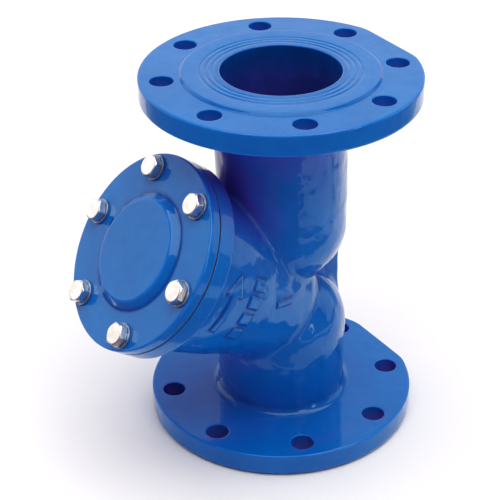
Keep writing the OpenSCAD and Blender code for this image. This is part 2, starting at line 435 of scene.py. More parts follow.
def from_bmesh(bm):
    """Points, faces and rim of a bmesh, which is freed."""
    bm.verts.index_update()
    points = np.array([v.co for v in bm.verts])
    faces = [[v.index for v in f.verts] for f in bm.faces]
    rim = [v.index for v in bm.verts if v.is_boundary]
    bm.free()
    return points, faces, rim


def trimmed(points, quads, cuts):
    """Cuts an open mesh by planes. A cut is (point, normal, near), where near says by place which
    faces the plane may cut, or is None; what lies beyond it along the normal is removed. Returns
    points, faces and rim."""
    bm = to_bmesh(points, quads)
    for point, normal, near in cuts:
        faces = [f for f in bm.faces if near is None or near(np.array(f.calc_center_median()))]
        verts, edges = {v for f in faces for v in f.verts}, {e for f in faces for e in f.edges}
        bmesh.ops.bisect_plane(bm, geom=[*verts, *edges, *faces], dist=1e-5, plane_co=point,
                               plane_no=normal, clear_outer=True)
    bmesh.ops.delete(bm, geom=[v for v in bm.verts if not v.link_faces], context="VERTS")
    return from_bmesh(bm)


def near_branch(centre):
    rho, s = branch_coordinates(centre[None])
    return bool(rho[0] < 72 and s[0] > 60)


# ---------------------------------------------------------------- the body casting
def rim_outline(inset, z, axes):
    """Outline of a line flange: a circle with one flat side, softened where they meet."""
    a = np.arange(SEGMENTS) * math.tau / SEGMENTS
    circle = np.full(SEGMENTS, FLANGE_R - inset)
    chord = np.where(np.cos(a) > 0.3, (FLAT_X - inset) / np.maximum(np.cos(a), 0.3), 1e4)
    r = smooth_min(circle, chord, 1.6)
    return axes.around(r, a, z)


FOOT_TONE, STEP_TONE, BORE_TONE = 0.15, 0.3, -0.8    # how strongly tones mark a line flange: paint pooling and painted shade in its hollows and over its whole bore, thin paint and a painted highlight on outside bends
GROOVE_RADII = (61.0, 56.5, 52.0)
BACK_RINGS = (62.0, 66.0, 70.0, 74.0, 78.5)     # rings that keep the flange's back smooth by its root
# Groove profile as (offset, depth, tone): its negative tones darken the groove floors as paint pooling and
# painted shade.
GROOVE = ((1.7, 0.0, 0.0), (1.2, 0.05, 0.0), (0.75, 0.22, 0.0), (0.4, 0.4, -0.3), (0.0, 0.48, -0.5),
          (-0.4, 0.4, -0.3), (-0.75, 0.22, 0.0), (-1.2, 0.05, 0.0), (-1.7, 0.0, 0.0))


def line_flange(shell, axes, outer_rim, inner_rim):
    """One line flange turned about the pipe axis, from the neck to the bore, z = 0 on its face."""
    back = FACE_H + FLANGE_T
    root = rounded([(NECK_R, STITCH - 1.5, 0), (NECK_R, back, -ROOT_R), (FLANGE_R, back, 0)], 10)[:-1]
    first = shell.add(axes.circle(*root[0][:2]))
    shell.zip(outer_rim, first, axes)
    root = [(r, z, FOOT_TONE * tone) for r, z, tone in root] + [(r, back, 0.0) for r in BACK_RINGS]
    _, back_inner = turn(shell, axes, root[1:], first)
    rim = rounded([(6.0, back, 0), (0.0, back, 1.5), (0.0, FACE_H, 1.5), (6.0, FACE_H, 0)])[1:-1]
    loops = []
    for inset, z, tone in rim:
        loops.append(shell.add(rim_outline(inset, z, axes), **tones(tone)))
        if len(loops) > 1:
            shell.strip(loops[-2], loops[-1])
    bore = rounded([(HOLE_R + 4, FACE_H, 0), (HOLE_R, FACE_H, 0.7), (HOLE_R, back, 0.7),
                    (HOLE_R + 4, back, 0)], 3)
    centres = polar(HOLE_COUNT, HOLE_CIRCLE_R, math.pi / HOLE_COUNT)
    fronts, backs = holes(shell, axes, centres, bore[1:-1])
    shell.fill([loops[0], back_inner] + backs, axes)
    step = rounded([(FACE_R + 5, FACE_H, 0), (FACE_R, FACE_H, -1.4), (FACE_R - 1.6, 0.0, 1.6),
                    (FACE_R - 6, 0.0, 0)], flat=0.3)
    face = [(r + dr, depth, tone) for r in GROOVE_RADII for dr, depth, tone in GROOVE]
    bore = rounded([(GROOVE_RADII[-1] - 2, 0.0, 0), (BORE_R, 0.0, 0.9), (BORE_R, STITCH - 1.5, 0)])
    step = [(r, z, STEP_TONE * tone) for r, z, tone in step]
    bore = [(r, z, tone if tone > 0 else BORE_TONE) for r, z, tone in bore]
    front_inner, last = turn(shell, axes, step[1:-1] + face + bore[1:])
    shell.fill([loops[-1], front_inner] + fronts, axes)
    shell.zip(inner_rim, last, axes)


TAPPED_R, TAPPED_DEPTH = 5.08, 11.0
BOLT_CENTRES = polar(len(BOLTS), BOLT_CIRCLE_R, BOLT_TURN)


def branch_flange(shell, outer_rim, inner_rim):
    """The branch flange with its tapped holes and mouth."""
    back = BRANCH_FACE - BRANCH_T
    drum = float(barrel_radius(np.array([STITCH_S + 1.5]))[0])
    outline = rounded([(drum, STITCH_S + 1.5, 0), (drum + 0.3, back, -5.5), (BRANCH_R, back, 1.2),
                       (BRANCH_R, BRANCH_FACE, 0.6), (BRANCH_R - 3, BRANCH_FACE, 0)], 5)[:-1]
    first = shell.add(BRANCH.circle(*outline[0][:2]))
    shell.zip(outer_rim, first, BRANCH)
    _, face_outer = turn(shell, BRANCH, outline[1:], first)
    mouth = rounded([(MOUTH_R + 3, BRANCH_FACE, 0), (MOUTH_R, BRANCH_FACE, 0.6),
                     (MOUTH_R, STITCH_MOUTH + 1.5, 0)], 3)
    face_inner, last = turn(shell, BRANCH, mouth[1:], slot=1)
    low = BRANCH_FACE - TAPPED_DEPTH
    bore = rounded([(TAPPED_R + 2, BRANCH_FACE, 0), (TAPPED_R, BRANCH_FACE, 0.5),
                    (TAPPED_R, low + 0.8, 0), (TAPPED_R * 0.8, low, 0), (0.4, low - 0.1, 0)], 2)
    fronts, floors = holes(shell, BRANCH, BOLT_CENTRES, bore[1:], count=24, slot=1)
    for centre, floor in zip(BOLT_CENTRES, floors):
        tip = shell.add(BRANCH.place([(centre[0], centre[1], low - 0.2)]))[0]
        shell.fan(floor, tip, 1)
    shell.fill([face_outer, face_inner] + fronts, BRANCH, 1)
    shell.zip(inner_rim, last, BRANCH)


# Raised marks on the barrel's -Y side, as outlines of (place along the branch, place across it)
MARK_H = 1.2
ARROW = [(108 + x, y) for x, y in ((-2.5, -24), (2.5, -24), (2.5, 8), (8, 8), (0, 24), (-8, 8),
                                   (-2.5, 8))]


def bar(s, y, length, width):
    return [(s, y), (s + length, y), (s + length, y + width), (s, y + width)]


TAB = [(48 + x * 0.914 + y * 0.407, 13 - x * 0.407 + y * 0.914)
       for x, y in ((-8.5, -2.2), (8.5, -2.2), (8.5, 2.2), (-8.5, 2.2))]
MARKS = [ARROW, TAB] + [bar(78, y, 12, 9) for y in (-25.5, -11.5, 2.5, 16.5)]


def polygon_distance(x, y, corners):
    """Distance from an outline, negative inside it."""
    nearest, inside = np.full(x.shape, 1e6), np.zeros(x.shape, bool)
    for (ax, ay), (bx, by) in zip(corners, corners[1:] + corners[:1]):
        ex, ey = bx - ax, by - ay
        t = np.clip(((x - ax) * ex + (y - ay) * ey) / (ex * ex + ey * ey), 0, 1)
        nearest = np.minimum(nearest, np.hypot(x - ax - t * ex, y - ay - t * ey))
        if ey:
            inside ^= ((ay > y) != (by > y)) & (x < ax + ex * (y - ay) / ey)
    return np.where(inside, -nearest, nearest)


def mark_distance(p):
    u, v, s = BRANCH.local(p)
    nearest = np.min([polygon_distance(s, u, corners) for corners in MARKS], axis=0)
    return np.where(v < 0, nearest, 1e6)


def cast_marked(p):
    return cast_outside(p) - MARK_H * ramp(-mark_distance(p), -0.9, 0.8)


def refined(points, quads, wanted, cuts):
    """Splits the wanted faces of a mesh into smaller ones. Returns points and faces."""
    bm = to_bmesh(points, quads)
    edges = {e for i in np.flatnonzero(wanted) for e in bm.faces[int(i)].edges}
    bmesh.ops.subdivide_edges(bm, edges=list(edges), cuts=cuts, use_grid_fill=True)
    return from_bmesh(bm)[:2]


OUTSIDE_STEP, INSIDE_STEP = 1.8, 2.6


def outside_mesh(low, high):
    """The cast middle of the body, finer round the raised marks."""
    points, quads = surface_net(cast_outside, low, high, OUTSIDE_STEP)
    wanted = mark_distance(points[quads].mean(1)) < 2.6
    points, faces = refined(points, quads, wanted, 3)
    near = mark_distance(points) < 4.0
    points[near] = settle(cast_marked, points[near], rounds=6)
    return points, faces


def rough_cast(thing):
    """1 where the surface is as cast, and 0 on the flanges, which were machined before painting."""
    co = np.empty(len(thing.data.vertices) * 3)
    thing.data.vertices.foreach_get("co", co)
    p = co.reshape(-1, 3) * MM
    z, (rho, s) = p[:, 2], branch_coordinates(p)
    back = FACE_H + FLANGE_T
    between = ramp(z, back + 1, back + 7) * ramp(HEIGHT - z, back + 1, back + 7)
    return between * np.where(rho < BRANCH_R + 1, ramp(BRANCH_FACE - BRANCH_T - s, 0.5, 6), 1.0)


def build_body(materials):
    shell = Shell()
    top_z = HEIGHT - STITCH
    rims = {}
    for side in ("outer", "inner"):
        if side == "outer":
            points, faces = outside_mesh((-138, -72, STITCH - 4), (62, 72, top_z + 4))
        else:
            points, faces = surface_net(cast_inside, (-142, -64, STITCH - 5), (50, 64, top_z + 5),
                                        INSIDE_STEP)
        branch_cut = BRANCH_O + (STITCH_S if side == "outer" else STITCH_MOUTH) * W
        points, faces, rim = trimmed(points, faces, [
            ((0, 0, STITCH), (0, 0, -1), None), ((0, 0, top_z), (0, 0, 1), None),
            (tuple(branch_cut), tuple(W), near_branch)])
        # The hollow tone darkens the paint: over the whole inside as painted shade, in fillets as paint
        # pooling and painted shade, and as a painted shadow outline round the foot of each raised mark.
        hollow = 0.8
        if side == "outer":
            hard = np.min(cast_parts(points), axis=0)
            foot = mark_distance(points)
            fillet = 0.3 * np.clip((hard - 0.25) / 1.2, 0, 1) * (foot > 4)
            hollow = fillet + ramp(-np.abs(foot - 0.9), -1.5, -0.3)
        index = shell.add(points, 0.0, hollow)
        for f in faces:
            shell.face([index[i] for i in f])
        z = points[:, 2]
        low_rim, top_rim = np.abs(z - STITCH) < 0.01, np.abs(z - top_z) < 0.01
        rims[side] = [[index[i] for i in rim if low_rim[i]], [index[i] for i in rim if top_rim[i]],
                      [index[i] for i in rim if not (low_rim[i] or top_rim[i])]]
    line_flange(shell, PIPE, rims["outer"][0], rims["inner"][0])
    line_flange(shell, PIPE_TOP, rims["outer"][1], rims["inner"][1])
    branch_flange(shell, rims["outer"][2], rims["inner"][2])
    made = shell.object("body_casting", materials)
    made.data.attributes.new("rough_cast", "FLOAT", "POINT").data.foreach_set("value", rough_cast(made))
    return made


# ---------------------------------------------------------------- cover and gasket
CLEAR_R = 5.5
DOME_TOP_R, DOME_FOOT_R, DOME_H = 39.5, 46.0, 5.5


def build_cover(materials):
    shell = Shell()
    top = COVER_TOP + DOME_H
    dome = rounded([(1.0, top, 0), (DOME_TOP_R, top, 4.5), (DOME_FOOT_R, COVER_TOP, -4.5),
                    (BRANCH_R, COVER_TOP, 0)], 6)
    # The hollow at the dome's foot is darkened nearly in full, as painted shade and paint pooling.
    dome = [(r, z, tone * (0.9 if tone < 0 else 1.0)) for r, z, tone in dome]
    first, dome_foot = turn(shell, BRANCH, [(12.0, top, 0), (26.0, top, 0)] + dome[1:-1])
    shell.fan(first, shell.add(BRANCH.place([(0, 0, top)]))[0])
    rim = rounded([(BRANCH_R - 5, COVER_TOP, 0), (BRANCH_R, COVER_TOP, 1.5), (BRANCH_R, COVER_LOW, 0.9),
                   (BRANCH_R - 5, COVER_LOW, 0)])
    face_rim, back_rim = turn(shell, BRANCH, rim[1:-1])
    recess_top = COVER_LOW + RECESS_DEPTH
    recess = rounded([(RECESS_R + 4, COVER_LOW, 0), (RECESS_R, COVER_LOW, 0.5),
                      (RECESS_R, recess_top, -0.4), (20.0, recess_top, 0)], 3)
    back_inner, floor = turn(shell, BRANCH, recess[1:], slot=1)
    shell.fan(floor, shell.add(BRANCH.place([(0, 0, recess_top)]))[0], 1)
    bore = rounded([(CLEAR_R + 3, COVER_TOP, 0), (CLEAR_R, COVER_TOP, 0.4), (CLEAR_R, COVER_LOW, 0.4),
                    (CLEAR_R + 3, COVER_LOW, 0)], 2)
    fronts, backs = holes(shell, BRANCH, BOLT_CENTRES, bore[1:-1], count=36)
    shell.fill([face_rim, dome_foot] + fronts, BRANCH)
    shell.fill([back_rim, back_inner] + backs, BRANCH, 1)
    return shell.object("cover_casting", materials)


def build_gasket(material):
    shell = Shell()
    outer_r = BRANCH_R - 0.15
    rim = rounded([(outer_r - 2, COVER_LOW, 0), (outer_r, COVER_LOW, 0.25),
                   (outer_r, BRANCH_FACE, 0.25), (outer_r - 2, BRANCH_FACE, 0)], 2)
    inner = [(MOUTH_R, COVER_LOW, 0.0), (MOUTH_R, BRANCH_FACE, 0.0)]
    top_outer, low_outer = turn(shell, BRANCH, rim[1:-1])
    top_inner, low_inner = turn(shell, BRANCH, inner)
    bore = [(CLEAR_R, COVER_LOW, 0.0), (CLEAR_R, BRANCH_FACE, 0.0)]
    fronts, backs = holes(shell, BRANCH, BOLT_CENTRES, bore, count=36)
    shell.fill([top_outer, top_inner] + fronts, BRANCH)
    shell.fill([low_outer, low_inner] + backs, BRANCH)
    return shell.object("gasket_sheet", [material], sharp=40)


# ---------------------------------------------------------------- hardware
WASHER_R, WASHER_BORE = 10.0, 5.25
HEAD_AF, HEAD_H, SHANK_L = 16.0, 6.4, 20.0
THREAD_R, THREAD_DEPTH, PITCH = 4.98, 0.88, 1.5
THREAD_END = 0.5              # chamfer at the tip and run-out under the head
HEAD_TURNS = {1: 33, 2: 12, 3: 30, 4: 8, 5: -15, 6: 27}    # degrees from a corner on the radial line


def bolt_axes(k):
    """The axes of bolt k at its head's seat: x is radial, z points out along the branch."""
    centre = bolt_points[k]
    x = centre - bolt_mean
    x /= np.linalg.norm(x)
    return Axes(centre, x, np.cross(W, x), W)


def build_washer(k, material):
    shell = Shell()
    path = rounded([(8.0, 0.0, 0), (WASHER_R, 0.0, 0.35), (WASHER_R, -WASHER_T, 0.35),
                    (WASHER_BORE, -WASHER_T, 0.25), (WASHER_BORE, 0.0, 0.25), (8.0, 0.0, 0)], 3)
    first, last = turn(shell, bolt_axes(k), path[1:-1], count=72)
    shell.strip(last, first)
    return shell.object(f"washer_plate_{k}", [material], sharp=50)


def hexagon(angles):
    """Radius of the head's outline at each angle, with slightly rounded corners."""
    flat = HEAD_AF / 2 / np.cos((angles % (math.pi / 3)) - math.pi / 6)
    return smooth_min(flat, np.full(len(angles), HEAD_AF / 2 / math.cos(math.pi / 6) - 0.08), 0.25)


def build_bolt(k, material):
    shell, axes = Shell(), bolt_axes(k)
    turn_of_head = math.radians(HEAD_TURNS[k])
    count = 144
    angles = np.arange(count) * math.tau / count
    outline = hexagon(angles)

    def ring(radii, z, tone=0.0):
        return shell.add(axes.around(radii, angles + turn_of_head, z), tone)

    flat_r, slope = HEAD_AF / 2 - 0.5, math.tan(math.radians(30))
    even = np.ones(count)
    shoulder = HEAD_H - (outline - flat_r) * slope
    # The tones given to the head's rings lighten its chamfer edges as a painted highlight.
    rings = [ring(even * (flat_r - 0.9), HEAD_H), ring(even * (flat_r - 0.25), HEAD_H - 0.01, 0.6),
             ring(even * flat_r + 0.12, HEAD_H - 0.1, 1.0), ring(outline - 0.22, shoulder + 0.1),
             ring(outline - 0.05, shoulder - 0.03, 1.0), ring(outline, shoulder - 0.25),
             ring(outline, 1.0), ring(outline, 0.75), ring(outline - 0.1, 0.55, 0.8),
             ring(outline - 0.45, 0.42), ring(even * (flat_r + 0.1), 0.4), ring(even * flat_r, 0.25),
             ring(even * flat_r, 0.05, 0.5), ring(even * (flat_r - 0.1), 0.0)]
    for a, b in zip(rings, rings[1:]):
        shell.strip(a, b)
    shell.fan(rings[0], shell.add(axes.place([(0, 0, HEAD_H)]))[0])

    columns, steps = 36, 10
    rows = int((SHANK_L + 2 * PITCH) / PITCH * steps) + 1
    profile_turn = np.arange(rows)[:, None] / steps
    lead = np.arange(columns)[None, :] / columns
    z = np.clip(-SHANK_L - PITCH + (profile_turn + lead) * PITCH, -SHANK_L, -0.6)
    ridge = np.clip(1.25 - 2.5 * np.abs((profile_turn + 0 * lead) % 1.0 - 0.5), 0, 1)
    fade = ramp(z, -SHANK_L, -SHANK_L + 2 * THREAD_END) * ramp(-z, 0.6, 2.2)
    radius = THREAD_R - THREAD_DEPTH * (1 - ridge * fade)
    # Thread crests get an edge tone, lightened as a painted highlight.
    index = shell.add(axes.around(radius, lead * math.tau, z), (ridge * fade > 0.9).ravel() * 0.5)
    index = np.array(index).reshape(rows, columns)
    for i in range(rows - 1):
        for j in range(columns - 1):
            shell.face((index[i, j], index[i, j + 1], index[i + 1, j + 1], index[i + 1, j]))
        if i + steps + 1 < rows:
            shell.face((index[i, -1], index[i + steps, 0], index[i + steps + 1, 0], index[i + 1, -1]))
    core_r = THREAD_R - THREAD_DEPTH
    seat, neck = (shell.add(axes.circle(r, z, columns)) for r, z in ((5.0, 0.0), (core_r, -0.6)))
    shell.zip(rings[-1], seat, axes)
    shell.strip(seat, neck)
    tip = shell.add(axes.circle(core_r, -SHANK_L, columns))
    shell.fan(tip, shell.add(axes.place([(0, 0, -SHANK_L)]))[0])
    return shell.object(f"hex_bolt_{k}", [material], sharp=38, merge=True)


# ---------------------------------------------------------------- screen
RING_R, RING_IN, RING_H, RING_FLOOR = 45.1, 41.0, 8.0, 3.0
SCREEN_END = COVER_LOW + RECESS_DEPTH - 0.1
TUBE_LOW, TUBE_HIGH = SEAT_S + RING_FLOOR, SCREEN_END - RING_FLOOR
MESH_OUT, MESH_IN = 42.95, 42.55
SEAM_TURN, SEAM_W, SEAM_T, SLIT = math.pi / 2, 12.0, 0.8, 0.6
PERFORATION_R, PERFORATION_PITCH = 2.0, 6.0


def build_screen_tube(material):
    """Rolled perforated sheet: staggered round holes in cells laid like bricks, in two skins."""
    shell = Shell()
    arc_length = SCREEN_R * math.tau - SLIT
    columns = int(arc_length / PERFORATION_PITCH)
    width = arc_length / columns
    margin = RING_H - RING_FLOOR + 2.0
    row_count = int((TUBE_HIGH - TUBE_LOW - 2 * margin) / (width * 0.87))
    height = (TUBE_HIGH - TUBE_LOW - 2 * margin) / row_count
    skins = (SCREEN_R, SCREEN_R - SCREEN_T)

    def place(x, z, r):
        return BRANCH.around(r, SEAM_TURN + (SLIT / 2 + np.asarray(x)) / SCREEN_R, z)

    def patch(xs, zs):
        for r in skins:
            shell.face(shell.add(place(xs, np.array(zs), r)))

    def wall(xs, zs):
        a, b = (shell.add(place(xs, np.array(zs), r)) for r in skins)
        for i in range(len(a) - 1):
            shell.face((a[i], a[i + 1], b[i + 1], b[i]))

    rim_turns = np.arange(16) * math.tau / 16
    for row in range(row_count):
        low = TUBE_LOW + margin + row * height
        shift = row % 2 / 2
        starts = [i + shift for i in range(columns - (row % 2))]
        if row % 2:
            for x in (0.0, arc_length - width / 2):
                patch([x, x + width / 2, x + width / 2, x + width / 2, x, x],
                      [low, low, low + height / 2, low + height, low + height, low + height / 2])
        for i in starts:
            x, mid_x, far_x = i * width, (i + 0.5) * width, (i + 1) * width
            mid_z = low + height / 2
            xs = [far_x, far_x, mid_x, x, x, x, mid_x, far_x]
            zs = [mid_z, low + height, low + height, low + height, mid_z, low, low, low]
            if i < 1 or i > columns - 2:
                patch(xs, zs)
                continue
            rims = []
            for r in skins:
                outer = shell.add(place(xs, np.array(zs), r))
                rim = shell.add(place(mid_x + PERFORATION_R * np.cos(rim_turns),
                                      mid_z + PERFORATION_R * np.sin(rim_turns), r))
                rims.append(rim)
                for q in range(8):
                    shell.face((outer[q], rim[2 * q], rim[2 * q + 1]))
                    shell.face((outer[q], rim[2 * q + 1], rim[(2 * q + 2) % 16], outer[(q + 1) % 8]))
            shell.strip(*rims)
    half_xs = [i * width / 2 for i in range(2 * columns + 1)]
    for low, high in ((TUBE_LOW, TUBE_LOW + margin), (TUBE_HIGH - margin, TUBE_HIGH)):
        for a, b in zip(half_xs, half_xs[1:]):
            patch([a, b, b, a], [low, low, high, high])
        end = TUBE_LOW if low == TUBE_LOW else TUBE_HIGH
        wall(half_xs, [end] * len(half_xs))
    sides = [TUBE_LOW + margin + i * height / 2 for i in range(2 * row_count + 1)]
    sides = [TUBE_LOW, *sides, TUBE_HIGH]
    for x in (0.0, arc_length):
        wall([x] * len(sides), sides)
    return shell.object("screen_sheet", [material], sharp=30, merge=True)


def build_screen_seam(material):
    """Lapped strip with a row of spot welds."""
    shell = Shell()
    low, high = SEAT_S + RING_H + 0.1, SCREEN_END - RING_H - 0.1
    nx, nz = 25, 231
    x = np.linspace(-SEAM_W / 2, SEAM_W / 2, nx)
    z = np.linspace(low, high, nz)
    xx, zz = np.meshgrid(x, z, indexing="ij")
    welds = np.arange(low + 7, high - 3, 12.0)
    reach = np.min([np.hypot(xx, zz - w) for w in welds], axis=0)
    border = np.minimum(SEAM_W / 2 - np.abs(xx), np.minimum(zz - low, high - zz))
    dent = 0.3 * (1 - ramp(reach, 1.2, 2.6)) - 0.06 * np.exp(-((reach - 3.0) / 0.5) ** 2)
    top = SCREEN_R + SEAM_T - dent - 0.25 * (1 - ramp(border, 0, 0.5)) - 0.02
    skins = []
    for radius in (top, np.full_like(top, SCREEN_R + 0.02)):
        points = BRANCH.around(radius, SEAM_TURN + xx / SCREEN_R, zz)
        heat = np.exp(-((reach - 2.0) / 1.6) ** 2).ravel()
        skins.append(np.array(shell.add(points, 0.0, heat)).reshape(nx, nz))
    for index in skins:
        for i in range(nx - 1):
            for j in range(nz - 1):
                shell.face((index[i, j], index[i + 1, j], index[i + 1, j + 1], index[i, j + 1]))
    borders = [np.concatenate([k[:, 0], k[-1, 1:], k[-2::-1, -1], k[0, -2:0:-1]]) for k in skins]
    shell.strip(*(border.tolist() for border in borders))
    return shell.object("seam_strip", [material], sharp=40)


def build_sleeve(material):
    shell = Shell()
    first, last = turn(shell, BRANCH, [(MESH_OUT, TUBE_LOW, 0), (MESH_OUT, TUBE_HIGH, 0),
                                       (MESH_IN, TUBE_HIGH, 0), (MESH_IN, TUBE_LOW, 0)])
    shell.strip(last, first)
    return shell.object("mesh_sleeve", [material], sharp=40)


def build_ring(name, foot, way, material):
    """End ring with its groove; foot is its solid end and way is +1 or -1 along the branch."""
    shell = Shell()
    out, inn = SCREEN_R + 0.05, MESH_IN - 0.05
    corners = [(RING_IN + 1.5, 0, 0), (RING_R, 0, 0.5), (RING_R, RING_H, 0.3), (out, RING_H, 0.2),
               (out, RING_FLOOR, 0), (inn, RING_FLOOR, 0), (inn, RING_H, 0.2),
               (RING_IN, RING_H, 0.2), (RING_IN, 0, 0.4), (RING_IN + 1.5, 0, 0)]
    path = rounded([(r, foot + way * z, radius) for r, z, radius in corners], 2)
    first, last = turn(shell, BRANCH, path[:-1])
    shell.strip(last, first)
    return shell.object(name, [material], sharp=40)


# ---------------------------------------------------------------- materials
class Nodes:
    """A node tree, with short ways to add to it."""

    def __init__(self, owner):
        owner.use_nodes = True
        self.tree = owner.node_tree

    def feed(self, socket, value):
        if isinstance(value, bpy.types.NodeSocket):
            self.tree.links.new(value, socket)
        else:
            socket.default_value = value

    def node(self, kind, inputs=None, **settings):
        made = self.tree.nodes.new("ShaderNode" + kind)
        for label, value in settings.items():
            setattr(made, label, value)
        for label, value in (inputs or {}).items():
            self.feed(made.inputs[label], value)
        return made

    def math(self, operation, a, b=0.0, c=0.0):
        return self.node("Math", {0: a, 1: b, 2: c}, operation=operation).outputs[0]

    def times(self, a, b):
        return self.math("MULTIPLY", a, b)

    def plus(self, a, b):
        return self.math("ADD", a, b)

    def dot(self, a, b):
        return self.node("VectorMath", {0: a, 1: tuple(b)}, operation="DOT_PRODUCT").outputs["Value"]

    def spread(self, value, low, high, to_low=0.0, to_high=1.0, kind="SMOOTHSTEP"):
        inputs = {"Value": value, "From Min": low, "From Max": high, "To Min": to_low, "To Max": to_high}
        return self.node("MapRange", inputs, interpolation_type=kind).outputs[0]

    def mix(self, share, a, b):
        made = self.node("Mix", data_type="RGBA")
        for label, value in ((0, share), (6, a), (7, b)):
            self.feed(made.inputs[label], (*value, 1.0) if isinstance(value, tuple) else value)
        return made.outputs[2]


class Paint(Nodes):
    """A node material. Numbers that are the same everywhere go straight on the shader's sockets."""

    def __init__(self, name, **shader):
        self.material = bpy.data.materials.new(name)
        super().__init__(self.material)
        self.shader = self.tree.nodes["Principled BSDF"]
        self.place = self.node("TexCoord").outputs["Object"]
        for label, value in shader.items():
            self.feed(self.shader.inputs[label.replace("_", " ")], value)

    def noise(self, scale, detail=2.0, roughness=0.5, distortion=0.0, place=None):
        return self.node("TexNoise", {"Vector": place or self.place, "Scale": scale, "Detail": detail,
                                      "Roughness": roughness, "Distortion": distortion}).outputs["Fac"]

    def cells(self, scale, feature="F1"):
        return self.node("TexVoronoi", {"Vector": self.place, "Scale": scale},
                         feature=feature).outputs["Distance"]

    def stretched(self, axes, scales):
        """Place in a frame of the given axes, scaled along each, so that noise runs in streaks."""
        parts = [self.times(self.dot(self.place, a), k) for a, k in zip(axes, scales)]
        return self.node("CombineXYZ", dict(zip("XYZ", parts))).outputs[0]

    def branch_place(self, *axes):
        """Place along each of the given axes, in metres from the foot of the branch's axis."""
        local = self.node("VectorMath", {0: self.place, 1: tuple(BRANCH_O / MM)}, operation="SUBTRACT")
        return [self.dot(local.outputs[0], axis) for axis in axes]

    def tone(self, name):
        return self.node("Attribute", attribute_name=name).outputs["Fac"]

    def bump(self, height, distance, below=None):
        """Bump of a height of 0 to 1 that stands for the distance in metres."""
        inputs = {"Height": height, "Strength": 1.0, "Distance": distance}
        if below is not None:
            inputs["Normal"] = below
        return self.node("Bump", inputs).outputs[0]

    def finish(self, colour, roughness, normal):
        for label, value in (("Base Color", colour), ("Roughness", roughness), ("Normal", normal),
                             ("Coat Normal", normal)):
            self.feed(self.shader.inputs[label], value)
        return self.material


def enamel():
    """Thick glossy enamel on cast iron: orange peel; lighter on edges as thin paint and a painted highlight;
    darker in hollows as paint pooling and painted shade; darker violet as painted shade where the castings
    hide it.
    """
    paint = Paint("blue_enamel", Specular_IOR_Level=0.06, Coat_Weight=1.0, Coat_Roughness=0.035,
                  Coat_IOR=1.39)
    cloud = paint.noise(18, 3.0, 0.55)
    mottle = paint.noise(95, 4.0, 0.6, 0.3)
    colour = paint.mix(paint.spread(cloud, 0.3, 0.7), (0.0012, 0.125, 0.42), (0.002, 0.145, 0.47))
    colour = paint.mix(paint.spread(mottle, 0.42, 0.75, 0.0, 0.35), colour, (0.001, 0.10, 0.40))
    # Painted shade: a darker violet colour where the castings hide the surface from the room's light.
    painted_shade_share = paint.times(paint.spread(paint.tone("painted_shade"), 0.1, 0.7), 0.9)
    colour = paint.mix(painted_shade_share, colour, (0.105, 0.066, 0.43))
    # Paint pooling and painted shade: darker where the hollow tone is high.
    pooling_and_shade = paint.times(paint.tone("hollow"), paint.spread(mottle, 0.2, 0.6, 0.6, 1.0))
    colour = paint.mix(paint.times(pooling_and_shade, 0.75), colour, (0.004, 0.046, 0.23))
    # Thin paint and a painted highlight: lighter on edges.
    thin_edge_and_highlight = paint.times(paint.tone("edge"), paint.spread(mottle, 0.35, 0.65, 0.25, 0.8))
    colour = paint.mix(thin_edge_and_highlight, colour, (0.012, 0.17, 0.58))
    speck = paint.spread(paint.cells(210), 0.02, 0.09, 1.0, 0.0)
    nib = paint.times(speck, paint.spread(paint.noise(26), 0.56, 0.66))
    peel = paint.plus(paint.noise(210, 2.0, 0.45), paint.times(paint.noise(620, 1.0), 0.28))
    peel = paint.plus(peel, paint.times(nib, 0.9))
    swell = paint.noise(75, 1.5, 0.4)
    upright = paint.stretched(np.eye(3), (140, 140, 16))
    runs = paint.noise(1.0, 2.0, 0.5, place=upright)
    swell = paint.plus(swell, paint.times(runs, 0.45))
    rough = paint.tone("rough_cast")
    grain = paint.times(paint.noise(430, 2.0, 0.5), paint.times(rough, 0.16))
    peel = paint.times(peel, paint.math("MULTIPLY_ADD", rough, 0.3, 0.2))
    swell = paint.times(swell, paint.math("MULTIPLY_ADD", rough, 1.0, 0.25))
    normal = paint.bump(paint.plus(peel, grain), 0.00017, paint.bump(swell, 0.0006))
    return paint.finish(colour, paint.spread(mottle, 0.3, 0.7, 0.3, 0.45), normal)


def machined_iron():
    """Lathe-turned grey iron: fine rings round the branch axis, with light tarnish."""
    paint = Paint("machined_iron", Metallic=0.55)
    u, v = paint.branch_place(U, V)
    reach = paint.math("SQRT", paint.plus(paint.times(u, u), paint.times(v, v)))
    wander = paint.times(paint.noise(40), 0.0002)
    rings = paint.math("SINE", paint.times(paint.plus(reach, wander), math.tau / 0.0007))
    cloud = paint.noise(70, 4.0, 0.6)
    colour = paint.mix(paint.spread(cloud, 0.35, 0.7), (0.44, 0.43, 0.41), (0.31, 0.295, 0.27))
    stain = paint.spread(paint.noise(240, 3.0), 0.6, 0.75, 0.0, 0.5)
    colour = paint.mix(stain, colour, (0.18, 0.15, 0.12))
    ripple = paint.plus(paint.times(rings, 0.5), paint.noise(900, 2.0))
    return paint.finish(colour, paint.spread(cloud, 0.3, 0.7, 0.38, 0.52), paint.bump(ripple, 0.00002))


def gasket_fibre():
    paint = Paint("gasket_fibre", Specular_IOR_Level=0.3, Sheen_Weight=0.15)
    fibres = paint.noise(700, 3.0, 0.7, 1.5)
    fleck = paint.cells(900)
    colour = paint.mix(paint.spread(fibres, 0.35, 0.7), (0.022, 0.022, 0.024), (0.062, 0.060, 0.058))
    colour = paint.mix(paint.spread(fleck, 0.05, 0.2, 0.35, 0.0), colour, (0.16, 0.15, 0.14))
    painted = paint.times(paint.tone("edge"), paint.spread(paint.noise(120, 3.0), 0.35, 0.6))
    colour = paint.mix(painted, colour, (0.003, 0.045, 0.20))
    return paint.finish(colour, paint.spread(fibres, 0.3, 0.7, 0.7, 0.92), paint.bump(fibres, 0.00006))


